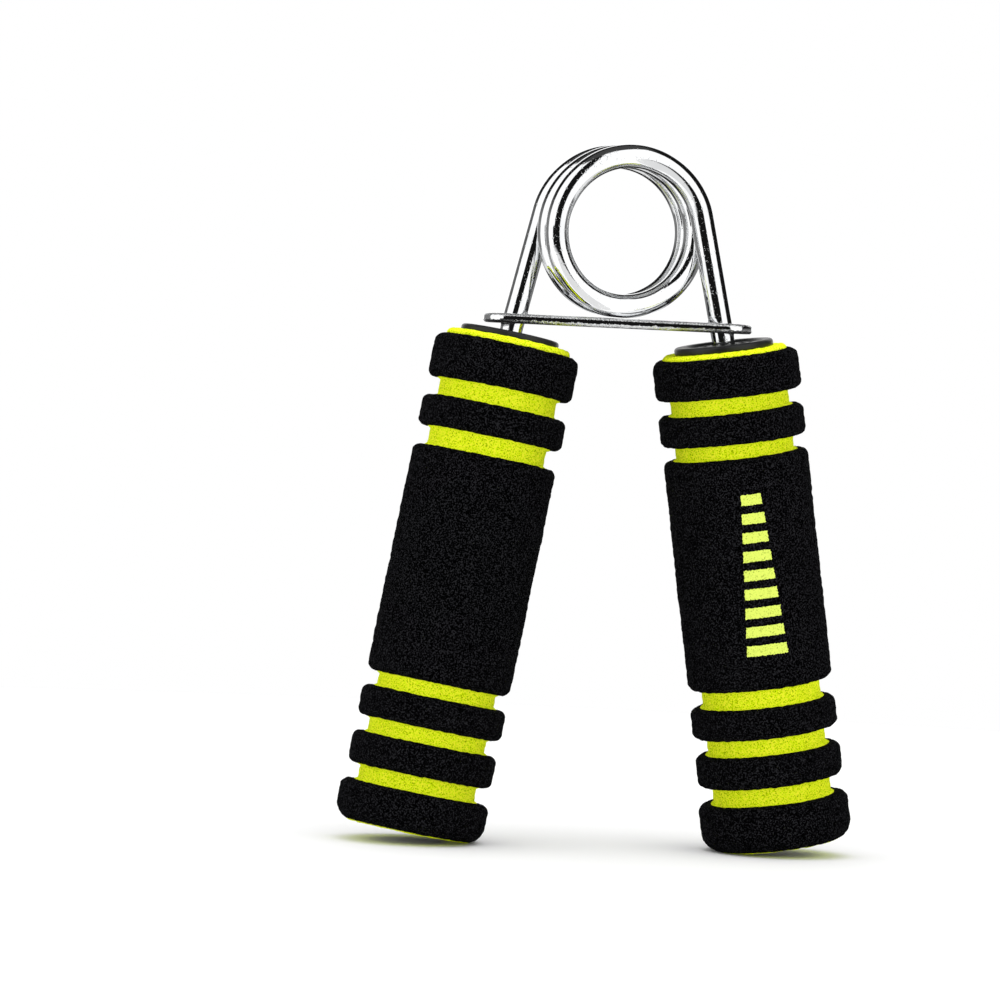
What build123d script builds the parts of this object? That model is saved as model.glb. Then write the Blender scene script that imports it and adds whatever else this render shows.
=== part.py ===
from build123d import *
import os
from math import cos, radians, sin, tan

# Hand grip strengthener: one spring-steel wire, wound into a coil at the top, whose two legs
# run down into two foam-covered handles. A slotted steel link plate ties the legs together
# just under the coil. All sizes are in millimetres and all angles in degrees.
#
# Frame: +Z up, handles hanging down, coil axis along Y, the coil over the origin.
# The right handle is at +X and stands a little forward, at -Y. The left handle is the right one
# turned half a turn about Z, because the wire comes off the two ends of the coil. Only the
# grooves in the foam differ from one handle to the other.

# ---- spring wire ----
WIRE_R = 2.5                  # wire radius
COIL_R = 15.8                 # radius of the coil, to the centre of the wire
LEG_OFFSET = 6.55             # each leg's distance to the front or back of the middle plane
LEG_SPLAY = 13.4              # lean of the legs from upright
BEND_DEPTH = 21.3             # the legs bend here, below the coil's centre
BEND_R = 10.0
TURNS_OVER_TOP = 2            # whole turns beyond the arc that goes once over the top
LEVEL_ARC = 8.0               # arc next to each leg where the wire doesn't move sideways

# ---- handles ----
HANDLE_SPLAY = 9.5            # lean of the handles from upright
PLUG_DEPTH = 22.6             # top of the plug, below the coil's centre
LEG_IN_HANDLE = 60.0          # how far the wire goes down the handle

PLUG_RIM_R = 10.5
PLUG_RIM_H = 1.45
PLUG_RIM_ROUND = 0.7
PLUG_DISH_R = 6.4
PLUG_DISH_DEPTH = 0.5
PLUG_SPIGOT_H = 16.0
PLUG_RIB_R = 0.5
PLUG_RIB_COUNT = 4

CORE_R = 9.0
CORE_BORE_R = 7.0

TIP_BUSH_TOP = 44.0
TIP_BUSH_FLOOR = 2.0
TIP_BUSH_RIBS = 6

CAP_H = 1.5
CAP_SPIGOT_H = 11.0
CAP_HOLLOW_R = 4.5

# ---- foam ----
LIME_R = 13.2                 # where the black layer meets the lime one
GROOVE_R = 12.5               # bottom of the grooves cut through to the lime layer
BAND_R = 15.4
WAIST_R = 15.3
HEEL_R = 15.9
BAND_ROUND = 1.8
HEEL_ROUND = 4.0              # lower edge of the handle, across both foam layers
GROOVE_LIP = 0.35             # the lime steps in a little before the groove's floor
FOAM_LENGTH = 105.9

# Black bands from the top, with their radii. The last one runs on to the end of the foam.
BAND_RADII = {
    "collar_band": BAND_R,
    "upper_rib": BAND_R,
    "palm_band": WAIST_R,
    "lower_rib": BAND_R,
    "heel_rib": BAND_R,
    "end_band": HEEL_R,
}
# Lime showing above each band, and the band's length. The grooves aren't at quite the same
# heights on the two handles, so each has its own.
CUTS = {
    "right": [(0.9, 8.5), (3.4, 6.4), (3.15, 49.0), (3.85, 6.5), (3.6, 6.8), (3.8, 10.0)],
    "left": [(1.3, 9.4), (3.95, 6.5), (4.15, 48.75), (3.1, 6.5), (3.35, 6.85), (3.45, 8.6)],
}

# ---- link plate ----
PLATE_L = 57.0
PLATE_W = 11.5
PLATE_T = 2.1
PLATE_DEPTH = 19.5            # middle of the plate, below the coil's centre
PLATE_EDGE = 0.75             # rounding of the plate's edges
SLOT_R = 2.85
SLOT_OUTER = 22.05            # slot end centres, from the middle of the plate
SLOT_INNER = 18.0

# ---- worked out from the sizes above ----
FOAM_END_DEPTH = PLUG_DEPTH + (PLUG_RIM_H + FOAM_LENGTH) * cos(radians(HANDLE_SPLAY))
LOWEST_DEPTH = (
    FOAM_END_DEPTH
    + HEEL_ROUND * (1 - cos(radians(HANDLE_SPLAY)))
    + (HEEL_R - HEEL_ROUND) * sin(radians(HANDLE_SPLAY))
)
COIL_Z = LOWEST_DEPTH         # height of the coil's axis, so the handles end at Z = 0

TANGENT_X = COIL_R * cos(radians(LEG_SPLAY))
TANGENT_DEPTH = -COIL_R * sin(radians(LEG_SPLAY))
BEND_X = TANGENT_X + (BEND_DEPTH - TANGENT_DEPTH) * tan(radians(LEG_SPLAY))
PLUG_X = BEND_X + (PLUG_DEPTH - BEND_DEPTH) * tan(radians(HANDLE_SPLAY))
PLATE_LEG_X = TANGENT_X + (PLATE_DEPTH - TANGENT_DEPTH) * tan(radians(LEG_SPLAY))
PLATE_SKEW = Vector(PLATE_LEG_X, LEG_OFFSET, 0).get_angle(Vector(1, 0, 0))

RIGHT_HANDLE = Pos(PLUG_X, -LEG_OFFSET, COIL_Z - PLUG_DEPTH) * Rot(0, -HANDLE_SPLAY, 0)
HALF_TURN = Rot(0, 0, 180)


def turned(*outline):
    """A solid of revolution about Z from (radius, height) corners."""
    return revolve(make_face(Plane.XZ * Polyline(*outline, close=True)), Axis.Z)


def rings_at(solid, height, radius):
    """The circular edges of a turned solid at one height and radius."""
    return [
        edge
        for edge in solid.edges().filter_by(GeomType.CIRCLE)
        if abs(edge.center().Z - height) < 0.01 and abs(edge.radius - radius) < 0.01
    ]


# ---- the spring ----
def on_coil(angle, across):
    """A point on the wire's middle, at an angle above horizontal seen from the front."""
    return Vector(COIL_R * cos(radians(angle)), across, COIL_Z + COIL_R * sin(radians(angle)))


def spring_coil():
    """The wound part of the wire, from the back leg over the top to the front leg.

    It starts and ends level, in line with the legs, and is a plain helix in between.
    """
    wound_arc = 360 * TURNS_OVER_TOP + 180 - 2 * (LEG_SPLAY + LEVEL_ARC)
    pitch = 2 * LEG_OFFSET * 360 / wound_arc
    onto_y = Pos(0, LEG_OFFSET, COIL_Z) * Rot(90, 0, 0)
    first_angle = 180 - LEG_SPLAY - LEVEL_ARC
    wound = onto_y * Rot(0, 0, first_angle) * Helix(pitch, 2 * LEG_OFFSET, COIL_R, lefthand=True)
    from_leg = ThreePointArc(
        on_coil(180 - LEG_SPLAY, LEG_OFFSET),
        on_coil(180 - LEG_SPLAY - LEVEL_ARC / 2, LEG_OFFSET),
        wound @ 0,
    )
    to_leg = ThreePointArc(
        wound @ 1,
        on_coil(LEG_SPLAY + LEVEL_ARC / 2, -LEG_OFFSET),
        on_coil(LEG_SPLAY, -LEG_OFFSET),
    )
    path = Wire([*from_leg.edges(), *wound.edges(), *to_leg.edges()])
    section = Plane(from_leg @ 0, z_dir=from_leg % 0) * Circle(WIRE_R)
    return sweep(section, path=path, is_frenet=True)


def right_leg():
    """Straight off the coil, a slight bend above the plug, then down inside the handle."""
    handle_lean = radians(HANDLE_SPLAY)
    past_bend = (PLUG_DEPTH - BEND_DEPTH) / cos(handle_lean) + LEG_IN_HANDLE
    tip_x = BEND_X + past_bend * sin(handle_lean)
    tip_depth = BEND_DEPTH + past_bend * cos(handle_lean)
    off_coil = Vector(TANGENT_X, -LEG_OFFSET, COIL_Z - TANGENT_DEPTH)
    bend = Vector(BEND_X, -LEG_OFFSET, COIL_Z - BEND_DEPTH)
    tip = Vector(tip_x, -LEG_OFFSET, COIL_Z - tip_depth)
    path = FilletPolyline(off_coil, bend, tip, radius=BEND_R)
    leg = sweep(Plane(off_coil, z_dir=bend - off_coil) * Circle(WIRE_R), path=path)
    tip_edge = leg.edges().filter_by(GeomType.CIRCLE).sort_by(Axis.Z)[0]
    return chamfer(tip_edge, 0.6)


# ---- hard pieces of a handle, drawn with the plug's top at Z = 0 and the handle going down ----
def plug():
    """Flanged plastic plug that closes the top of the core and holds the wire."""
    foot = -PLUG_RIM_H - PLUG_SPIGOT_H
    rib_seat = CORE_BORE_R - PLUG_RIB_R
    solid = turned(
        (WIRE_R, -PLUG_DISH_DEPTH),
        (PLUG_DISH_R - PLUG_DISH_DEPTH, -PLUG_DISH_DEPTH),
        (PLUG_DISH_R, 0),
        (PLUG_RIM_R, 0),
        (PLUG_RIM_R, -PLUG_RIM_H),
        (rib_seat, -PLUG_RIM_H),
        (rib_seat, foot),
        (WIRE_R, foot),
    )
    solid = fillet(rings_at(solid, 0, PLUG_RIM_R), PLUG_RIM_ROUND)
    rib_step = (PLUG_SPIGOT_H - 2 * PLUG_RIB_R) / (PLUG_RIB_COUNT - 1)
    for rib in range(PLUG_RIB_COUNT):
        middle = -PLUG_RIM_H - PLUG_RIB_R - rib * rib_step
        solid += turned(
            (rib_seat - 0.5, middle + PLUG_RIB_R),
            (rib_seat, middle + PLUG_RIB_R),
            (CORE_BORE_R, middle),
            (rib_seat, middle - PLUG_RIB_R),
            (rib_seat - 0.5, middle - PLUG_RIB_R),
        )
    return solid


def core_tube():
    """Stiff plastic tube the foam is pushed onto."""
    top = -PLUG_RIM_H
    foot = -PLUG_RIM_H - FOAM_LENGTH + CAP_H
    return turned((CORE_BORE_R, top), (CORE_R, top), (CORE_R, foot), (CORE_BORE_R, foot))


def tip_bush():
    """Plastic bush that keeps the wire's lower tip in the middle of the tube."""
    top = -TIP_BUSH_TOP
    foot = -LEG_IN_HANDLE - TIP_BUSH_FLOOR
    hub_r = WIRE_R + 1.6
    solid = turned(
        (WIRE_R, top),
        (hub_r, top),
        (hub_r, foot + TIP_BUSH_FLOOR),
        (CORE_BORE_R, foot + TIP_BUSH_FLOOR),
        (CORE_BORE_R, foot),
        (0, foot),
        (0, -LEG_IN_HANDLE),
        (WIRE_R, -LEG_IN_HANDLE),
    )
    rib_length = top - foot
    rib_reach = CORE_BORE_R - hub_r + 0.4
    rib = Box(rib_reach, 1.2, rib_length, align=(Align.MAX, Align.CENTER, Align.MAX))
    inside_core = Cylinder(CORE_BORE_R, rib_length, align=(Align.CENTER, Align.CENTER, Align.MAX))
    for turn in range(TIP_BUSH_RIBS):
        spoke = Rot(0, 0, turn * 360 / TIP_BUSH_RIBS) * Pos(CORE_BORE_R, 0, 0) * rib
        solid += Pos(0, 0, top) * (spoke & inside_core)
    return solid


def end_cap():
    """Plastic cap over the lower end of the tube, flush with the foam."""
    foot = -PLUG_RIM_H - FOAM_LENGTH
    seat = foot + CAP_H
    solid = turned(
        (0, foot),
        (CORE_R, foot),
        (CORE_R, seat),
        (CORE_BORE_R, seat),
        (CORE_BORE_R, seat + CAP_SPIGOT_H),
        (CAP_HOLLOW_R, seat + CAP_SPIGOT_H),
        (CAP_HOLLOW_R, seat + 1),
        (0, seat + 1),
    )
    return chamfer(rings_at(solid, foot, CORE_R), 0.3)


# ---- foam of a handle ----
def band_places(side):
    """Name, top, foot and radius of each black band of a handle, from the top down."""
    places = []
    foot = -PLUG_RIM_H
    for (name, radius), (gap, length) in zip(BAND_RADII.items(), CUTS[side]):
        top = foot - gap
        foot = top - length
        places.append((name, top, foot, radius))
    return places


def foam_envelope():
    """The space both foam layers stay inside, with the rounded lower edge."""
    solid = turned((0, 0), (HEEL_R, 0), (HEEL_R, -PLUG_RIM_H - FOAM_LENGTH), (0, -PLUG_RIM_H - FOAM_LENGTH))
    return fillet(rings_at(solid, -PLUG_RIM_H - FOAM_LENGTH, HEEL_R), HEEL_ROUND)


def lime_sleeve(side):
    """Inner foam layer, the full length of the handle, with a groove between the black bands."""
    top = -PLUG_RIM_H
    foot = top - FOAM_LENGTH
    places = band_places(side)
    outline = [(CORE_R, foot), (CORE_R, top), (LIME_R, top)]
    for (_, _, above, _), (_, below, _, _) in zip(places, places[1:]):
        outline += [
            (LIME_R, above),
            (GROOVE_R, above - GROOVE_LIP),
            (GROOVE_R, below + GROOVE_LIP),
            (LIME_R, below),
        ]
    outline.append((LIME_R, foot))
    return turned(*outline) & foam_envelope()


def black_band(top, foot, radius):
    """One ring of the black outer foam layer, with rounded outer corners."""
    solid = turned((LIME_R, top), (radius, top), (radius, foot), (LIME_R, foot))
    return fillet(rings_at(solid, top, radius) + rings_at(solid, foot, radius), BAND_ROUND)


def end_band(top, foot, radius):
    """The last black ring, which shares the handle's rounded lower edge."""
    solid = turned((LIME_R, top), (radius, top), (radius, foot), (LIME_R, foot))
    return fillet(rings_at(solid, top, radius), BAND_ROUND) & foam_envelope()


# ---- link plate ----
def link_plate():
    """Flat steel link with a long slot for each leg, lying under the coil from leg to leg."""
    outline = SlotOverall(PLATE_L, PLATE_W)
    slot_middle = (SLOT_OUTER + SLOT_INNER) / 2
    for side in (-1, 1):
        outline -= Pos(side * slot_middle, 0) * SlotCenterToCenter(SLOT_OUTER - SLOT_INNER, 2 * SLOT_R)
    plate = extrude(outline, PLATE_T / 2, both=True)
    flats = plate.faces().filter_by(Axis.Z)
    plate = fillet(flats.sort_by(Axis.Z)[-1].edges() + flats.sort_by(Axis.Z)[0].edges(), PLATE_EDGE)
    return Pos(0, 0, COIL_Z - PLATE_DEPTH) * Rot(0, 0, -PLATE_SKEW) * plate


def handle_pieces(side):
    """Every piece of one handle, in the right handle's place, by name."""
    pieces = {
        "plug": plug(),
        "core_tube": core_tube(),
        "tip_bush": tip_bush(),
        "end_cap": end_cap(),
        "lime_sleeve": lime_sleeve(side),
    }
    for name, top, foot, radius in band_places(side):
        make = end_band if name == "end_band" else black_band
        pieces[name] = make(top, foot, radius)
    return {name: RIGHT_HANDLE * piece for name, piece in pieces.items()}


def save(name, solid):
    """Write one piece to its own file."""
    export_step(solid, f"parts/{name}.step")
    box = solid.bounding_box()
    print(f"{name:20s} {solid.volume:10.1f} mm3  x {box.min.X:7.2f} {box.max.X:7.2f}"
          f"  y {box.min.Y:7.2f} {box.max.Y:7.2f}  z {box.min.Z:7.2f} {box.max.Z:7.2f}")


os.makedirs("parts", exist_ok=True)
save("spring_coil", spring_coil())
save("link_plate", link_plate())
for side, turn in {"right": Rot(0, 0, 0), "left": HALF_TURN}.items():
    for name, piece in {"leg": right_leg(), **handle_pieces(side)}.items():
        save(f"{side}_{name}", turn * piece)
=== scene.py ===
"""Hand grip strengthener: chrome spring, slotted link plate, and lime and black foam handles.

The pieces are drawn in millimetres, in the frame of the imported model: +Z up, the coil's axis along
Y, the right handle forward. Each handle's pieces are drawn about their own axis, with the plug's top
at Z = 0, and then put in place. The left handle's place is the right one's, turned half a turn
about Z.
"""

from math import acos, atan2, ceil, cos, pi, radians, sin, tan

import bpy
import numpy as np
from mathutils import Matrix, Vector, noise


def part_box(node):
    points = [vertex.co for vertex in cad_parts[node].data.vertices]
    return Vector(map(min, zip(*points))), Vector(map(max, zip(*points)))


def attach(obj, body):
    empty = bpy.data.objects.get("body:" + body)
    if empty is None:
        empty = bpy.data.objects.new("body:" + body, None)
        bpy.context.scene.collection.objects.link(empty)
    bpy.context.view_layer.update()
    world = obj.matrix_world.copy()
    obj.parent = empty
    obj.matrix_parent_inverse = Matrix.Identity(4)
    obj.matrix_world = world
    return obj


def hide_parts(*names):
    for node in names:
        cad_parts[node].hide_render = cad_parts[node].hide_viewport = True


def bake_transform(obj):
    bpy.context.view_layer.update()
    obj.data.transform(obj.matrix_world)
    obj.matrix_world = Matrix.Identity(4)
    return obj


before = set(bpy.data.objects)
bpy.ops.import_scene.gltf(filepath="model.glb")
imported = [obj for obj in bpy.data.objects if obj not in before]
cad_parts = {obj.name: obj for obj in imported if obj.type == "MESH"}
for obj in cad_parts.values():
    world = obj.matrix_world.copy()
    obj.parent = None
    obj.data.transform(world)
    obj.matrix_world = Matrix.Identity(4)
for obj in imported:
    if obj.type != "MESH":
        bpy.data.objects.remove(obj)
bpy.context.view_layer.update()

MM = 0.001

# ---- spring wire ----
WIRE_R = 2.5
COIL_R = 15.8
LEG_OFFSET = 6.55
LEG_SPLAY = 13.4
BEND_DEPTH = 21.3
BEND_R = 10.0
BEND_STEPS = 4
LEVEL_ARC = 8.0               # next to each leg the wire doesn't move sideways
HALF_COIL_ARC = 450 - LEG_SPLAY  # from the top of the middle turn to where a leg comes off
WIRE_STEP = 0.7
WIRE_SIDES = 48
WIRE_TIP_CHAMFER = 0.6
LEG_IN_HANDLE = 60.0

# ---- link plate ----
PLATE_L = 57.0
PLATE_W = 11.5
PLATE_T = 2.1
PLATE_DEPTH = 19.5
PLATE_EDGE = 0.75
SLOT_R = 2.85
SLOT_OUTER = 22.05
SLOT_INNER = 18.0
EDGE_ROUGHNESS = 0.2          # depth of the stamped edge's marks
EDGE_TORN_BELOW = 0.3         # the torn part of the edge starts this far below the middle
EDGE_RAGGED = 1.4             # height of the ragged line between the sheared and the torn part
EDGE_LEAN = 0.26              # how far the torn part leans in, for each millimetre down

# ---- handles ----
HANDLE_SPLAY = 9.5
PLUG_DEPTH = 22.6
PLUG_RIM_R = 10.5
PLUG_RIM_H = 1.45
PLUG_SPIGOT_H = 16.0
PLUG_HOLE_R = 2.56
PLUG_SPIGOT_R = 6.9
# The plug's face from the wire to the rim, as radius, height and rounding: a collar round the
# wire, a dish with a raised ring in it, and a flat rim.
PLUG_FACE = [
    (PLUG_HOLE_R, -0.35, 0.1),
    (3.56, -0.35, 0.25),
    (3.96, -0.75, 0.2),
    (4.9, -0.75, 0.2),
    (5.1, -0.45, 0.1),
    (5.7, -0.45, 0.1),
    (5.9, -0.75, 0.2),
    (7.6, -0.62, 0.3),
    (8.5, -0.02, 0.4),
    (9.0, 0, 0.2),
    (PLUG_RIM_R, 0, 0.65),
]
CORE_R = 9.0
LIME_R = 13.2
LIME_TOP_ROUND = 1.1
GROOVE_R = 12.5
GROOVE_LIP = 0.35
BLACK_OVERLAP = 0.1           # the black layer starts this far inside the lime layer's surface
HEEL_ROUND = 4.0              # lower edge of the handle, across both foam layers
FOAM_LENGTH = 105.9
BAND_R = 15.4
WAIST_R = 15.3
HEEL_R = 15.9

# Black bands from the top: name, radius, rounding of the upper and of the lower edge. The last
# one's lower edge is the handle's own.
BANDS = [
    ("collar_band", BAND_R, 2.0, 1.3),
    ("upper_rib", BAND_R, 1.4, 1.4),
    ("palm_band", WAIST_R, 1.4, 1.8),
    ("lower_rib", BAND_R, 1.5, 1.5),
    ("heel_rib", BAND_R, 1.5, 1.6),
    ("end_band", HEEL_R, 1.6, 0),
]
# Lime showing above each band, and the band's length. The grooves aren't at quite the same
# heights on the two handles.
CUTS = {
    "right": [(0.9, 8.5), (3.4, 6.4), (3.15, 49.0), (3.85, 6.5), (3.6, 6.8), (3.8, 10.0)],
    "left": [(1.3, 9.4), (3.95, 6.5), (4.15, 48.75), (3.1, 6.5), (3.35, 6.85), (3.45, 8.6)],
}

# The lime layer's edge into a groove: radius, distance past the black band's edge and rounding.
# It starts a little behind the band.
GROOVE_EDGE = [
    (LIME_R, -0.3, 0),
    (LIME_R, 0.05, 0.15),
    (GROOVE_R, GROOVE_LIP + 0.1, 0.2),
]

# ---- meshes ----
FOAM_STEP = 0.42
FOAM_SIDES = 236
FOAM_GRAIN = [(0.19, 1.1), (0.08, 2.6), (0.10, 15.0)]    # (height, size) of the unevenness
GRAIN_SHIFT = 300.0           # the left handle's unevenness is taken this far from the right one's
PLASTIC_STEP = 0.25
PLASTIC_SIDES = 144
ROUND_STEPS = 32              # straight pieces in each round end of the link plate and its slots
SHARP_ANGLE = 35              # metal edges sharper than this aren't smoothed over

# ---- colours ----
PLATING = [(0.3, (0.80, 0.81, 0.82)), (0.7, (0.92, 0.925, 0.93))]    # from dull smears to bright
LIME = (0.76, 0.97, 0.001)
# The darker lime is painted shade in the pores, the paler one a painted highlight on the skin.
LIME_PORE_SHADE = (0.22, 0.34, 0.0)
LIME_SKIN_HIGHLIGHT = (1.0, 1.0, 0.045)
BLACK_WALL = (0.0009, 0.0009, 0.0012)
# A painted highlight on the black foam's skin.
BLACK_SKIN_HIGHLIGHT = (0.016, 0.016, 0.018)
INK = (0.72, 0.86, 0.135)
# The darker ink is painted shade in the pores.
INK_PORE_SHADE = (0.54, 0.66, 0.09)

# ---- print on the right palm band: a plain scale of bars that widen towards the heel ----
PRINT_AZIMUTH = -11.0         # which way it faces, from straight ahead
PRINT_LENGTH = 34.0
PRINT_BARS = 9
PRINT_BAR_SHARE = 0.56
PRINT_NARROW = 4.2
PRINT_WIDE = 8.8
PRINT_RAGGED = 0.55           # height of the ragged line that each bar has for an edge

# ---- camera and stage ----
CAMERA_AZIMUTH = -19.0
CAMERA_ELEVATION = 1.6
CAMERA_DISTANCE = 1260.8
CAMERA_PIVOT_HEIGHT = 75.3
CAMERA_AIM_ACROSS = -23.1     # the aim is this far to the right of the pivot, seen from the camera
CAMERA_AIM_UP = -2.8
CAMERA_ROLL = 2.7
CAMERA_LENS = 214.5
FLOOR_R = 450.0
FLOOR_SIDES = 96
LAMP_HEIGHT = 1050.0
LAMP_WIDTH = 1300.0
LAMP_WATTS = 5.0

# ---- how bright each part of the studio is ----
BOX_LIGHT = 1.2               # the soft boxes, with the camera's own white backdrop as 1
TABLE_SHARE = 0.7             # the table, as a share of the soft boxes
WALL_LIGHT = 0.2              # grey walls beyond the soft boxes
CEILING_LIGHT = 0.05
ROOM_LIGHT = 0.008            # everything else in the dark room
TENT_TILT = 0.3               # the foam's tent is brighter by this on the camera's side, dimmer behind

# ---- worked out from the sizes above ----
COIL_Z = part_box("spring_coil")[1].z / MM - COIL_R - WIRE_R
TANGENT_X = COIL_R * cos(radians(LEG_SPLAY))
TANGENT_DEPTH = -COIL_R * sin(radians(LEG_SPLAY))
BEND_X = TANGENT_X + (BEND_DEPTH - TANGENT_DEPTH) * tan(radians(LEG_SPLAY))
PLUG_X = BEND_X + (PLUG_DEPTH - BEND_DEPTH) * tan(radians(HANDLE_SPLAY))
PLATE_LEG_X = TANGENT_X + (PLATE_DEPTH - TANGENT_DEPTH) * tan(radians(LEG_SPLAY))
PLATE_SKEW = atan2(LEG_OFFSET, PLATE_LEG_X)
FOAM_TOP = -PLUG_RIM_H
FOAM_END = FOAM_TOP - FOAM_LENGTH

HALF_TURN = Matrix.Rotation(pi, 4, "Z")
RIGHT_HANDLE = Matrix.Translation((PLUG_X, -LEG_OFFSET, COIL_Z - PLUG_DEPTH)) @ Matrix.Rotation(
    radians(-HANDLE_SPLAY), 4, "Y"
)
SIDES = {"right": Matrix.Identity(4), "left": HALF_TURN}


def band_places(side):
    """Name, top, foot, radius and edge roundings of each black band of a handle."""
    places = []
    foot = FOAM_TOP
    for (name, radius, top_round, foot_round), (gap, length) in zip(BANDS, CUTS[side]):
        top = foot - gap
        foot = top - length
        places.append((name, top, foot, radius, top_round, foot_round))
    return places


# ---------------------------------------------------------------- node helpers
def add_node(tree, kind, inputs=None, **settings):
    """A shader node with its settings. An input is given a value, or a socket to link from."""
    made = tree.nodes.new("ShaderNode" + kind)
    for key, value in settings.items():
        setattr(made, key, value)
    for key, value in (inputs or {}).items():
        if isinstance(value, bpy.types.NodeSocket):
            tree.links.new(value, made.inputs[key])
        else:
            made.inputs[key].default_value = value
    return made


def math(tree, operation, *values):
    """The result of a Math node."""
    return add_node(tree, "Math", dict(enumerate(values)), operation=operation).outputs[0]


def ramp(tree, factor, stops):
    """The colour of a Color Ramp. Each stop is a place and a grey or an (r, g, b)."""
    made = add_node(tree, "ValToRGB", {"Fac": factor})
    elements = made.color_ramp.elements
    while len(elements) < len(stops):
        elements.new(0.5)
    for element, (place, colour) in zip(elements, sorted(stops, key=lambda stop: stop[0])):
        element.position = place
        rgb = (colour,) * 3 if isinstance(colour, (int, float)) else colour
        element.color = (*rgb, 1)
    return made.outputs["Color"]


def blended(tree, factor, first, second):
    """The colour between two colours or sockets."""
    made = add_node(tree, "Mix", {0: factor, 6: first, 7: second}, data_type="RGBA")
    return made.outputs[2]


def noise_at(tree, where, size, detail=2.0, roughness=0.5, distortion=0.0):
    """Noise with features about `size` millimetres across, from 0 to 1."""
    inputs = {
        "Vector": where,
        "Scale": 1 / (size * MM),
        "Detail": detail,
        "Roughness": roughness,
        "Distortion": distortion,
    }
    return add_node(tree, "TexNoise", inputs).outputs["Fac"]


def cells_at(tree, where, size):
    """Distance to the nearest cell centre, for cells about `size` millimetres across."""
    inputs = {"Vector": where, "Scale": 1 / (size * MM)}
    return add_node(tree, "TexVoronoi", inputs).outputs["Distance"]


def new_material(name):
    """An empty material, its tree, its surface shader and the place on the object."""
    material = bpy.data.materials.new(name)
    material.use_nodes = True
    tree = material.node_tree
    shader = tree.nodes["Principled BSDF"]
    where = add_node(tree, "TexCoord").outputs["Object"]
    return material, tree, shader, where


def set_bump(tree, shader, height, distance, strength=1.0):
    """Bump from a height that goes from 0 to 1 over `distance` millimetres."""
    inputs = {"Height": height, "Distance": distance * MM, "Strength": strength}
    tree.links.new(add_node(tree, "Bump", inputs).outputs["Normal"], shader.inputs["Normal"])


# ---------------------------------------------------------------- materials
def chrome_wire_material():
    """Bright chrome on drawn wire: mirror-like, with faint waves, small pits and dull smears."""
    material, tree, shader, where = new_material("chrome_wire")
    waves = noise_at(tree, where, 2.6, detail=2.0)
    pits = ramp(tree, noise_at(tree, where, 0.55, detail=2.0), [(0.60, 0.0), (0.68, 1.0)])
    smear = noise_at(tree, where, 7.0, detail=4.0, distortion=0.6)
    tree.links.new(ramp(tree, smear, PLATING), shader.inputs["Base Color"])
    tree.links.new(ramp(tree, smear, [(0.45, 0.03), (0.75, 0.07)]), shader.inputs["Roughness"])
    shader.inputs["Metallic"].default_value = 1.0
    height = math(tree, "MULTIPLY_ADD", pits, -0.35, waves)
    set_bump(tree, shader, height, 0.028)
    return material


def plated_sheet_material():
    """Plated stamped steel: bright faces and rough edges.

    An edge is sheared in its upper part. Below a ragged line it is torn, and leans in a little.
    """
    material, tree, shader, where = new_material("plated_sheet")
    normal = add_node(tree, "NewGeometry").outputs["Normal"]
    upright = math(tree, "ABSOLUTE", add_node(tree, "SeparateXYZ", {0: normal}).outputs["Z"])
    on_burr = ramp(tree, upright, [(0.15, 0.0), (0.35, 1.0), (0.85, 1.0), (0.97, 0.0)])
    shear = noise_at(tree, where, 0.55, detail=3.0, roughness=0.65)
    rolled = noise_at(tree, where, 2.4, detail=2.0)
    smear = noise_at(tree, where, 5.0, detail=4.0)
    tree.links.new(ramp(tree, smear, PLATING), shader.inputs["Base Color"])
    tree.links.new(ramp(tree, smear, [(0.4, 0.035), (0.75, 0.10)]), shader.inputs["Roughness"])
    shader.inputs["Metallic"].default_value = 1.0
    burr = math(tree, "MULTIPLY", shear, on_burr)
    height = math(tree, "MULTIPLY_ADD", rolled, 0.1, burr)
    above_middle = math(tree, "SUBTRACT", add_node(tree, "SeparateXYZ", {0: where}).outputs["Z"],
                        (COIL_Z - PLATE_DEPTH) * MM)
    ragged = math(tree, "MULTIPLY_ADD", noise_at(tree, where, 0.8, detail=3.0, roughness=0.7),
                  EDGE_RAGGED * MM, (EDGE_TORN_BELOW - EDGE_RAGGED / 2) * MM)
    torn = math(tree, "MINIMUM", math(tree, "ADD", above_middle, ragged), 0.0)
    height = math(tree, "MULTIPLY_ADD", torn, EDGE_LEAN / (EDGE_ROUGHNESS * MM), height)
    set_bump(tree, shader, height, EDGE_ROUGHNESS)
    return material


def black_plastic_material(name, roughness):
    """Moulded black plastic with a fine tooth, faint swirls and a slightly uneven gloss."""
    material, tree, shader, where = new_material(name)
    tooth = noise_at(tree, where, 0.22, detail=2.0)
    swirl = noise_at(tree, where, 6.0, detail=4.0, distortion=1.2)
    tree.links.new(ramp(tree, swirl, [(0.3, (0.010, 0.010, 0.011)), (0.7, (0.020, 0.020, 0.021))]),
                   shader.inputs["Base Color"])
    tree.links.new(ramp(tree, swirl, [(0.3, roughness * 0.8), (0.7, roughness * 1.25)]),
                   shader.inputs["Roughness"])
    shader.inputs["Specular IOR Level"].default_value = 0.3
    set_bump(tree, shader, tooth, 0.012)
    return material


def foam_grain(tree, where):
    """The open cells of cut foam: a height from 0 in the pores to 1 on the skin between them."""
    pores = cells_at(tree, where, 0.34)
    fine = noise_at(tree, where, 0.30, detail=1.0, roughness=0.5)
    height = math(tree, "MULTIPLY_ADD", pores, 0.35, math(tree, "MULTIPLY", fine, 0.9))
    return ramp(tree, height, [(0.40, 0.0), (0.78, 1.0)])


def black_foam_colour(tree, grain):
    """Near-black foam, pure black in the pores as painted shade, with a painted highlight on the skin.
    """
    return ramp(tree, grain, [(0.30, 0.0), (0.62, BLACK_WALL), (1.0, BLACK_SKIN_HIGHLIGHT)])


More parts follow.
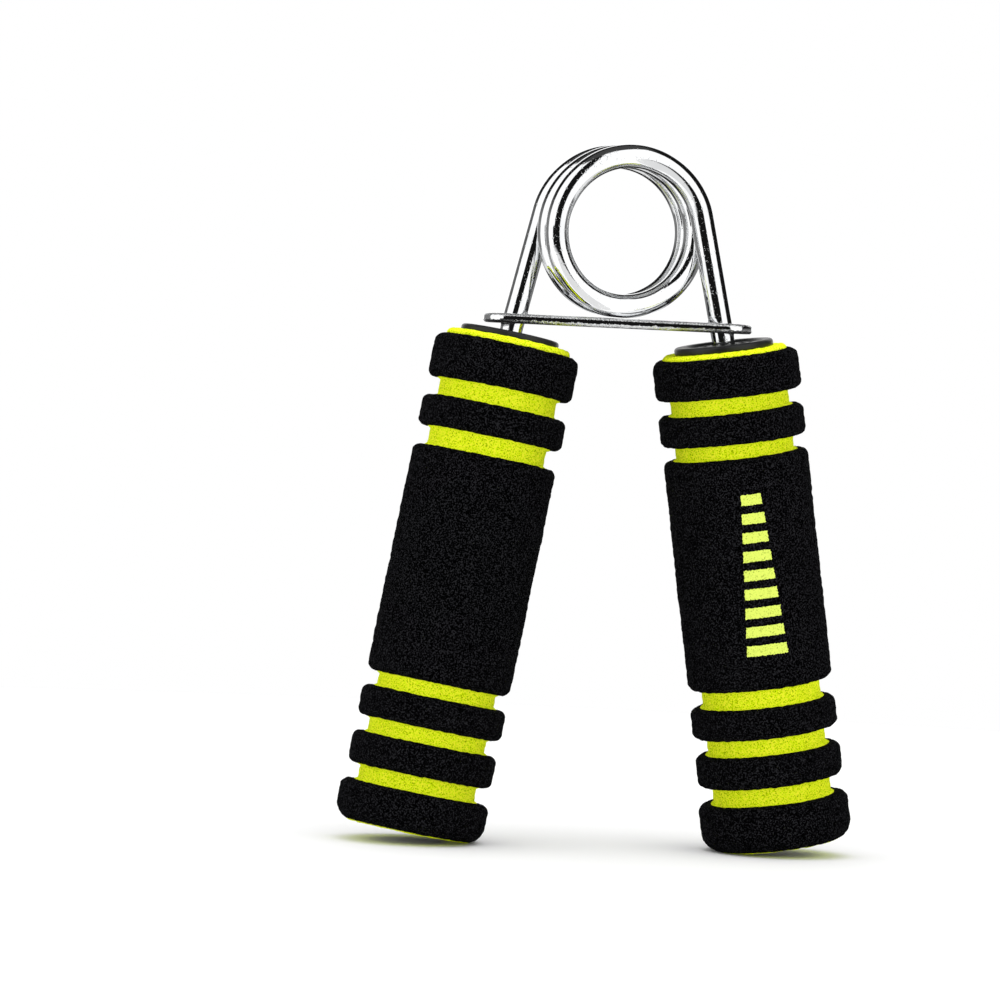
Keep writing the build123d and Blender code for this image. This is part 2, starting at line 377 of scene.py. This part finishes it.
def black_foam_material():
    """Black outer foam layer."""
    material, tree, shader, where = new_material("black_foam")
    grain = foam_grain(tree, where)
    tree.links.new(black_foam_colour(tree, grain), shader.inputs["Base Color"])
    shader.inputs["Roughness"].default_value = 0.92
    shader.inputs["Specular IOR Level"].default_value = 0.01
    set_bump(tree, shader, grain, 0.12)
    return material


def print_mask(tree, where):
    """1 on the printed bars of the right palm band, 0 beside them. The bars' edges are ragged."""
    turn = (0, radians(-HANDLE_SPLAY), 0)
    inputs = {"Vector": where, "Location": RIGHT_HANDLE.translation * MM, "Rotation": turn}
    on_handle = add_node(tree, "Mapping", inputs, vector_type="TEXTURE").outputs["Vector"]
    inputs = {"Vector": on_handle, "Rotation": (0, 0, radians(PRINT_AZIMUTH))}
    facing = add_node(tree, "Mapping", inputs, vector_type="TEXTURE").outputs["Vector"]
    ragged = noise_at(tree, where, 0.4, detail=2.0)
    place = add_node(tree, "SeparateXYZ", {0: facing}).outputs
    nudge = math(tree, "MULTIPLY", math(tree, "SUBTRACT", ragged, 0.5), PRINT_RAGGED * MM)
    ends = {name: (top, foot) for name, top, foot, *_ in band_places("right")}
    top, foot = ends["palm_band"]
    start = (top + foot + PRINT_LENGTH) / 2 * MM
    down = math(tree, "SUBTRACT", start, math(tree, "ADD", place["Z"], nudge))
    share = math(tree, "DIVIDE", down, PRINT_LENGTH * MM)
    pitch = PRINT_LENGTH / (PRINT_BARS - 1 + PRINT_BAR_SHARE) * MM
    in_bar = math(tree, "LESS_THAN", math(tree, "FRACT", math(tree, "DIVIDE", down, pitch)),
                  PRINT_BAR_SHARE)
    half_width = math(tree, "MULTIPLY_ADD", share, (PRINT_WIDE - PRINT_NARROW) / 2 * MM,
                      PRINT_NARROW / 2 * MM)
    across = math(tree, "ABSOLUTE", math(tree, "ADD", place["X"], nudge))
    mask = math(tree, "MULTIPLY", in_bar, math(tree, "LESS_THAN", across, half_width))
    for inside in (
        math(tree, "GREATER_THAN", share, 0.0),
        math(tree, "LESS_THAN", share, 1.0),
        math(tree, "LESS_THAN", place["Y"], 0.0),
    ):
        mask = math(tree, "MULTIPLY", mask, inside)
    return mask


def printed_foam_material():
    """Black foam with the lime scale of bars printed on it, with less ink and painted shade in the
    pores.
    """
    material, tree, shader, where = new_material("black_foam_printed")
    grain = foam_grain(tree, where)
    less_ink_in_pores = ramp(tree, grain, [(0.02, 0.7), (0.18, 1.0)])
    # Darker ink in the pores: painted shade.
    ink = ramp(tree, grain, [(0.1, INK_PORE_SHADE), (0.5, INK)])
    coverage = math(tree, "MULTIPLY", print_mask(tree, where), less_ink_in_pores)
    tree.links.new(blended(tree, coverage, black_foam_colour(tree, grain), ink),
                   shader.inputs["Base Color"])
    shader.inputs["Roughness"].default_value = 0.9
    shader.inputs["Specular IOR Level"].default_value = 0.01
    set_bump(tree, shader, grain, 0.08)
    return material


def lime_foam_material():
    """Lime inner foam layer, with painted shade in the pores and a painted highlight on the skin between
    them.
    """
    material, tree, shader, where = new_material("lime_foam")
    grain = foam_grain(tree, where)
    dye = noise_at(tree, where, 4.0, detail=3.0)
    # From the grain's height: painted shade in the pores, lime between, a painted highlight on the skin.
    pores = ramp(tree, grain, [(0.0, LIME_PORE_SHADE), (0.42, LIME), (0.90, LIME_SKIN_HIGHLIGHT)])
    tree.links.new(blended(tree, math(tree, "MULTIPLY", dye, 0.25), pores, (*LIME, 1)),
                   shader.inputs["Base Color"])
    shader.inputs["Roughness"].default_value = 0.9
    shader.inputs["Specular IOR Level"].default_value = 0.01
    set_bump(tree, shader, grain, 0.10)
    return material


def floor_material():
    """Plain pale floor with a very faint unevenness."""
    material, tree, shader, where = new_material("pale_floor")
    mottle = noise_at(tree, where, 60.0, detail=3.0)
    tree.links.new(ramp(tree, mottle, [(0.3, 0.90), (0.7, 0.92)]), shader.inputs["Base Color"])
    shader.inputs["Roughness"].default_value = 0.8
    shader.inputs["Specular IOR Level"].default_value = 0.1
    return material


# ---------------------------------------------------------------- mesh helpers
def new_mesh_object(name, points, faces, material, place=Matrix.Identity(4)):
    """A smooth mesh from points in millimetres, moved by a matrix that is in millimetres too."""
    mesh = bpy.data.meshes.new(name)
    mesh.from_pydata(points, [], faces)
    mesh.transform(Matrix.Scale(MM, 4) @ place)
    mesh.shade_smooth()
    mesh.materials.append(material)
    made = bpy.data.objects.new(name, mesh)
    bpy.context.scene.collection.objects.link(made)
    return made


def divided(start, end, step):
    """Points from start up to but not including end, no further apart than step."""
    count = max(1, ceil((end - start).length / step))
    return [start.lerp(end, i / count) for i in range(count)]


def rounded_outline(corners, step, coarse_inside=0.0):
    """Points round a closed outline of (radius, height, rounding) corners.

    Stretches inside the radius coarse_inside are out of sight, and aren't divided.
    """
    arcs = []
    for index, (radius, height, rounding) in enumerate(corners):
        corner = Vector((radius, height))
        if rounding == 0:
            arcs.append([corner])
            continue
        before = (Vector(corners[index - 1][:2]) - corner).normalized()
        after = (Vector(corners[(index + 1) % len(corners)][:2]) - corner).normalized()
        half_angle = before.angle(after) / 2
        reach = rounding / tan(half_angle)
        centre = corner + (before + after).normalized() * rounding / sin(half_angle)
        first = corner + before * reach - centre
        turn = first.angle_signed(corner + after * reach - centre)
        count = max(2, ceil(abs(turn) * rounding / step))
        arcs.append([centre + Matrix.Rotation(-turn * i / count, 2) @ first for i in range(count + 1)])
    points = []
    for index, arc in enumerate(arcs):
        points += arc[:-1]
        start, end = arc[-1], arcs[(index + 1) % len(arcs)][0]
        hidden = max(start.x, end.x) <= coarse_inside
        points += divided(start, end, (start - end).length + 1 if hidden else step)
    return points


def lathe(outline, sides):
    """Points, outward directions and faces of a closed outline turned about Z."""
    rows = np.array([tuple(point) for point in outline])
    along = np.roll(rows, -1, axis=0) - np.roll(rows, 1, axis=0)
    out = np.stack([along[:, 1], -along[:, 0]], axis=1)
    out /= np.maximum(np.linalg.norm(out, axis=1, keepdims=True), 1e-9)
    turned_way = np.sum(rows[:, 0] * np.roll(rows[:, 1], -1) - np.roll(rows[:, 0], -1) * rows[:, 1])
    out *= np.sign(turned_way)
    angles = np.arange(sides) * 2 * pi / sides
    circle = np.stack([np.cos(angles), np.sin(angles)], axis=1)
    points, normals = (
        np.concatenate([flat[:, None, :1] * circle, np.repeat(flat[:, None, 1:], sides, axis=1)], axis=2)
        for flat in (rows, out)
    )
    faces = []
    for row in range(len(rows)):
        below = (row + 1) % len(rows)
        for side in range(sides):
            beside = (side + 1) % sides
            face = (
                row * sides + side,
                row * sides + beside,
                below * sides + beside,
                below * sides + side,
            )
            faces.append(face if turned_way < 0 else face[::-1])
    return points.reshape(-1, 3), normals.reshape(-1, 3), faces


def unevenness(point, layers, shift):
    """Height of a rough surface at a point, from layers of (height, size)."""
    return sum(height * noise.noise((Vector(point) + shift) / size) for height, size in layers)


def foam_ring(name, corners, coarse_inside, material, place, shift):
    """A ring of foam with an uneven, slightly ragged surface."""
    points, normals, faces = lathe(rounded_outline(corners, FOAM_STEP, coarse_inside), FOAM_SIDES)
    heights = np.array([unevenness(point, FOAM_GRAIN, shift) for point in points])
    seen = np.hypot(points[:, 0], points[:, 1]) > coarse_inside
    points = points + normals * (heights * seen)[:, None]
    return new_mesh_object(name, points.tolist(), faces, material, place)


def finished(piece, body, slot, *nodes):
    """Tell the frame which body a piece rides on, and hide what it replaces. The slot is not used."""
    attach(piece, body)
    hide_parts(*nodes)


# ---------------------------------------------------------------- spring
def wire_middle():
    """The middle of the front half of the wire, from the top of the coil to the right leg's tip."""
    points = []
    wound_arc = HALF_COIL_ARC - LEVEL_ARC
    steps = ceil(radians(HALF_COIL_ARC) * COIL_R / WIRE_STEP)
    for step in range(steps):
        arc = HALF_COIL_ARC * step / steps
        angle = radians(90 - arc)
        across = -LEG_OFFSET * min(arc / wound_arc, 1)
        points.append(Vector((COIL_R * cos(angle), across, COIL_Z + COIL_R * sin(angle))))
    lean = radians(HANDLE_SPLAY)
    past_bend = (PLUG_DEPTH - BEND_DEPTH) / cos(lean) + LEG_IN_HANDLE
    off_coil = Vector((TANGENT_X, -LEG_OFFSET, COIL_Z - TANGENT_DEPTH))
    bend = Vector((BEND_X, -LEG_OFFSET, COIL_Z - BEND_DEPTH))
    tip = bend + Vector((sin(lean), 0, -cos(lean))) * past_bend
    reach = BEND_R * tan(radians(LEG_SPLAY - HANDLE_SPLAY) / 2)
    into_bend = bend + (off_coil - bend).normalized() * reach
    out_of_bend = bend + (tip - bend).normalized() * reach
    points += divided(off_coil, into_bend, WIRE_STEP)
    for step in range(BEND_STEPS):
        share = step / BEND_STEPS
        points.append(into_bend.lerp(bend, share).lerp(bend.lerp(out_of_bend, share), share))
    points += divided(out_of_bend, tip, WIRE_STEP)
    points.append(tip)
    return points


def wire_half(name, material, place):
    """One half of the wire as a tube, closed at both ends."""
    middle = wire_middle()
    radii = [WIRE_R] * len(middle)
    middle.insert(-1, middle[-1] + (middle[-2] - middle[-1]).normalized() * WIRE_TIP_CHAMFER)
    radii.append(WIRE_R - WIRE_TIP_CHAMFER)
    points = []
    other_half = HALF_TURN @ middle[1]
    for index, centre in enumerate(middle):
        before = middle[index - 1] if index else other_half
        along = (middle[min(index + 1, len(middle) - 1)] - before).normalized()
        sideways = (Vector((0, 1, 0)) - along * along.y).normalized()
        upwards = along.cross(sideways)
        for side in range(WIRE_SIDES):
            angle = 2 * pi * side / WIRE_SIDES
            points.append(centre + (sideways * cos(angle) + upwards * sin(angle)) * radii[index])
    faces = []
    for ring in range(len(middle) - 1):
        for side in range(WIRE_SIDES):
            beside = (side + 1) % WIRE_SIDES
            low, high = ring * WIRE_SIDES, (ring + 1) * WIRE_SIDES
            faces.append((low + side, low + beside, high + beside, high + side))
    last = (len(middle) - 1) * WIRE_SIDES
    faces.append(tuple(reversed(range(WIRE_SIDES))))
    faces.append(tuple(range(last, last + WIRE_SIDES)))
    made = new_mesh_object(name, points, faces, material, place)
    made.data.set_sharp_from_angle(angle=radians(SHARP_ANGLE))
    return made


def spring():
    """The whole wire, in two halves."""
    material = chrome_wire_material()
    halves = [
        ("front_wire", "right", 1, ("spring_coil", "right_leg")),
        ("back_wire", "left", -1, ("left_leg",)),
    ]
    for name, side, way, nodes in halves:
        piece = wire_half(name, material, SIDES[side])
        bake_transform(piece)
        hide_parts(*nodes)


# ---------------------------------------------------------------- link plate
def stadium(curve, half_length, radius, middle):
    """A closed outline with round ends along X, as one more spline of a flat curve."""
    corners = []
    for end in (1, -1):
        for step in range(ROUND_STEPS + 1):
            angle = pi * step / ROUND_STEPS - pi / 2
            along = half_length + radius * cos(angle)
            corners.append((middle + end * along, end * radius * sin(angle)))
    spline = curve.splines.new("POLY")
    spline.points.add(len(corners) - 1)
    for point, (x, y) in zip(spline.points, corners):
        point.co = (x * MM, y * MM, 0, 1)
    spline.use_cyclic_u = True


def link_plate():
    """Stamped plate with a slot for each leg and softened edges."""
    curve = bpy.data.curves.new("link_outline", "CURVE")
    curve.dimensions = "2D"
    curve.fill_mode = "BOTH"
    curve.extrude = (PLATE_T / 2 - PLATE_EDGE) * MM
    curve.bevel_depth = PLATE_EDGE * MM
    curve.bevel_resolution = 4
    curve.offset = -PLATE_EDGE * MM
    stadium(curve, (PLATE_L - PLATE_W) / 2, PLATE_W / 2, 0)
    for side in (1, -1):
        stadium(curve, (SLOT_OUTER - SLOT_INNER) / 2, SLOT_R, side * (SLOT_OUTER + SLOT_INNER) / 2)
    outline = bpy.data.objects.new("link_outline", curve)
    mesh = bpy.data.meshes.new_from_object(outline)
    bpy.data.objects.remove(outline)
    mesh.transform(
        Matrix.Translation((0, 0, (COIL_Z - PLATE_DEPTH) * MM)) @ Matrix.Rotation(-PLATE_SKEW, 4, "Z")
    )
    mesh.materials.clear()
    mesh.materials.append(plated_sheet_material())
    mesh.shade_smooth()
    mesh.set_sharp_from_angle(angle=radians(SHARP_ANGLE))
    piece = bpy.data.objects.new("link_strap", mesh)
    bpy.context.scene.collection.objects.link(piece)
    finished(piece, "link", "link_steel", "link_plate")


# ---------------------------------------------------------------- handles
def plug(side, material, place):
    """Flanged plug: rounded rim, dished top and a low collar round the wire."""
    foot = FOAM_TOP - PLUG_SPIGOT_H
    corners = PLUG_FACE + [
        (PLUG_RIM_R, FOAM_TOP, 0.2),
        (PLUG_SPIGOT_R, FOAM_TOP, 0.1),
        (PLUG_SPIGOT_R, foot, 0.3),
        (PLUG_HOLE_R, foot, 0.1),
    ]
    outline = rounded_outline(corners, PLASTIC_STEP, PLUG_HOLE_R + 0.01)
    points, _, faces = lathe(outline, PLASTIC_SIDES)
    piece = new_mesh_object(side + "_plug_top", points.tolist(), faces, material, place)
    finished(piece, side + "_handle", "plug_plastic", side + "_plug")


def heel_edge(from_radius, to_radius):
    """Corners along the rounded lower edge of a handle, between two radii."""
    middle = HEEL_R - HEEL_ROUND
    first, last = (acos((radius - middle) / HEEL_ROUND) for radius in (from_radius, to_radius))
    count = ceil((last - first) * HEEL_ROUND / FOAM_STEP)
    corners = []
    for step in range(count + 1):
        angle = first + (last - first) * step / count
        corners.append((middle + HEEL_ROUND * cos(angle), FOAM_END + HEEL_ROUND * (1 - sin(angle)), 0))
    return corners


def lime_sleeve(side, material, place, shift):
    """Inner foam layer, seen in the grooves, above the collar and as a line at the bottom."""
    corners = [(CORE_R, FOAM_END, 0), (CORE_R, FOAM_TOP, 0), (LIME_R, FOAM_TOP, LIME_TOP_ROUND)]
    places = band_places(side)
    for (_, _, above, *_), (_, below, *_) in zip(places, places[1:]):
        corners += [(radius, above - past, rounding) for radius, past, rounding in GROOVE_EDGE]
        corners += [(radius, below + past, rounding) for radius, past, rounding in GROOVE_EDGE[::-1]]
    corners += heel_edge(LIME_R, HEEL_R - HEEL_ROUND)
    piece = foam_ring(side + "_lime_foam", corners, CORE_R, material, place, shift)
    finished(piece, side + "_handle", "lime_foam", side + "_lime_sleeve")


def black_bands(side, materials, place, shift):
    """The six rings of black outer foam."""
    inside = LIME_R - BLACK_OVERLAP
    for name, top, foot, radius, top_round, foot_round in band_places(side):
        corners = [(inside, top, 0), (radius, top, top_round)]
        if name == "end_band":
            corners += heel_edge(radius, inside)
        else:
            corners += [(radius, foot, foot_round), (inside, foot, 0)]
        material = materials.get((side, name), materials["plain"])
        piece = foam_ring(f"{side}_{name}_foam", corners, inside, material, place, shift)
        finished(piece, side + "_handle", "black_foam", f"{side}_{name}")


def handles():
    """Both handles. The left one's place is the right one's, turned half a turn."""
    rim_plastic = black_plastic_material("plug_plastic", 0.40)
    core_plastic = black_plastic_material("core_plastic", 0.50)
    lime = lime_foam_material()
    black = {"plain": black_foam_material(), ("right", "palm_band"): printed_foam_material()}
    for index, (side, turn) in enumerate(SIDES.items()):
        place = turn @ RIGHT_HANDLE
        shift = Vector((0, 0, GRAIN_SHIFT * index))
        plug(side, rim_plastic, place)
        lime_sleeve(side, lime, place, shift)
        black_bands(side, black, place, shift)
        for part in ("core_tube", "tip_bush", "end_cap"):
            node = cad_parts[f"{side}_{part}"]
            node.data.materials.clear()
            node.data.materials.append(core_plastic)


# ---------------------------------------------------------------- stage
def floor():
    """A round pale floor under the handles. In the chrome the studio world is seen in its place."""
    angles = [2 * pi * i / FLOOR_SIDES for i in range(FLOOR_SIDES)]
    rim = [(FLOOR_R * cos(angle), FLOOR_R * sin(angle), 0) for angle in angles]
    made = new_mesh_object("floor", rim, [tuple(range(FLOOR_SIDES))], floor_material())
    made.visible_glossy = False


def studio_light():
    """A wide soft light overhead. It lights the floor and isn't seen in the chrome."""
    light = bpy.data.lights.new("overhead", "AREA")
    light.shape = "DISK"
    light.size = LAMP_WIDTH * MM
    light.energy = LAMP_WATTS
    lamp = bpy.data.objects.new("overhead", light)
    lamp.location = (0, 0, LAMP_HEIGHT * MM)
    lamp.visible_glossy = False
    bpy.context.scene.collection.objects.link(lamp)


def fade(tree, value, dark, bright):
    """0 where the value is at `dark` or beyond, 1 at `bright` or beyond, smooth between them."""
    inputs = {"Value": value, "From Min": dark, "From Max": bright}
    return add_node(tree, "MapRange", inputs, interpolation_type="SMOOTHSTEP").outputs[0]


def soft_box(tree, *edges):
    """1 inside a soft box, given as (value, dark, bright) for each of its edges."""
    lit = 1.0
    for value, dark, bright in edges:
        lit = math(tree, "MULTIPLY", lit, fade(tree, value, dark, bright))
    return lit


def chrome_room(tree, bearing, height):
    """How bright the room is that the chrome sees, by bearing and height in degrees.

    It is dark, with soft boxes left and right of the camera, one behind the grip, a white table,
    grey walls beyond the boxes and a dim ceiling. The camera is at bearing 0, and the right is
    positive.
    """
    left = soft_box(tree, (bearing, -97, -88), (bearing, -27, -30), (height, 64, 59))
    notch = soft_box(tree, (bearing, -46, -40), (height, 0, -4), (height, -24, -19))
    left = math(tree, "MULTIPLY", left, math(tree, "SUBTRACT", 1.0, notch))
    leaning = math(tree, "MULTIPLY_ADD", height, 0.35, bearing)
    right = soft_box(tree, (leaning, 20, 24), (bearing, 79, 72), (height, 66, 61))
    sideways = math(tree, "ABSOLUTE", bearing)
    behind = soft_box(tree, (sideways, 140, 155), (height, 42, 30), (height, -10, -2))
    table = soft_box(tree, (height, -17, -22), (bearing, -135, -95), (bearing, 128, 108))
    table = math(tree, "MAXIMUM", table, fade(tree, height, -50, -60))
    left_wall = soft_box(tree, (bearing, -88, -97), (height, 28, 4), (height, -30, -12))
    right_wall = soft_box(tree, (bearing, 74, 84), (height, 6, -4), (height, -30, -12))
    walls = math(tree, "ADD", left_wall, right_wall)
    ceiling = fade(tree, height, 58, 66)
    boxes = math(tree, "ADD", left, right)
    lit = math(tree, "MAXIMUM", boxes, math(tree, "MULTIPLY", table, TABLE_SHARE))
    strength = math(tree, "MULTIPLY_ADD", lit, BOX_LIGHT, ROOM_LIGHT)
    strength = math(tree, "MULTIPLY_ADD", behind, BOX_LIGHT, strength)
    strength = math(tree, "MULTIPLY_ADD", walls, WALL_LIGHT, strength)
    return math(tree, "MULTIPLY_ADD", ceiling, CEILING_LIGHT, strength)


def studio_world():
    """A dark room for the chrome, a white tent that lights the foam, and a white backdrop."""
    world = bpy.data.worlds.new("studio")
    world.use_nodes = True
    tree = world.node_tree
    tree.nodes.clear()
    way = add_node(tree, "TexCoord").outputs["Generated"]
    inputs = {"Vector": way, "Rotation": (0, 0, radians(-CAMERA_AZIMUTH))}
    way = add_node(tree, "Mapping", inputs, vector_type="POINT").outputs["Vector"]
    place = add_node(tree, "SeparateXYZ", {0: way}).outputs
    bearing = math(tree, "ARCTAN2", place["X"], math(tree, "MULTIPLY", place["Y"], -1.0))
    bearing = math(tree, "DEGREES", bearing)
    height = math(tree, "DEGREES", math(tree, "ARCSINE", place["Z"]))
    white = (1, 1, 1, 1)
    inputs = {"Color": white, "Strength": chrome_room(tree, bearing, height)}
    room = add_node(tree, "Background", inputs)
    inputs = {"Color": white, "Strength": math(tree, "MULTIPLY_ADD", place["Y"], -TENT_TILT, 1.0)}
    tent = add_node(tree, "Background", inputs)
    backdrop = add_node(tree, "Background", {"Color": white, "Strength": 1.0})
    rays = add_node(tree, "LightPath").outputs
    inputs = {0: rays["Is Diffuse Ray"], 1: room.outputs[0], 2: tent.outputs[0]}
    mixed = add_node(tree, "MixShader", inputs)
    inputs = {0: rays["Is Camera Ray"], 1: mixed.outputs[0], 2: backdrop.outputs[0]}
    mixed = add_node(tree, "MixShader", inputs)
    output = add_node(tree, "OutputWorld")
    tree.links.new(mixed.outputs[0], output.inputs["Surface"])
    bpy.context.scene.world = world


def camera():
    """The camera, standing where the grip is seen from in front and a little to its left."""
    azimuth, elevation = radians(CAMERA_AZIMUTH), radians(CAMERA_ELEVATION)
    back = Vector((sin(azimuth) * cos(elevation), -cos(azimuth) * cos(elevation), sin(elevation)))
    right = Vector((cos(azimuth), sin(azimuth), 0))
    pivot = Vector((0, 0, CAMERA_PIVOT_HEIGHT))
    stand = pivot + back * CAMERA_DISTANCE
    aim = pivot + right * CAMERA_AIM_ACROSS + back.cross(right) * CAMERA_AIM_UP
    turn = (aim - stand).to_track_quat("-Z", "Y").to_matrix().to_4x4()
    data = bpy.data.cameras.new("camera")
    data.lens = CAMERA_LENS
    data.clip_start = 0.05
    data.clip_end = 50
    made = bpy.data.objects.new("camera", data)
    made.matrix_world = (
        Matrix.Translation(stand * MM) @ turn @ Matrix.Rotation(radians(CAMERA_ROLL), 4, "Z")
    )
    bpy.context.scene.collection.objects.link(made)
    bpy.context.scene.camera = made


spring()
link_plate()
handles()
floor()
studio_light()
studio_world()
camera()
bpy.context.scene.view_settings.view_transform = "Standard"
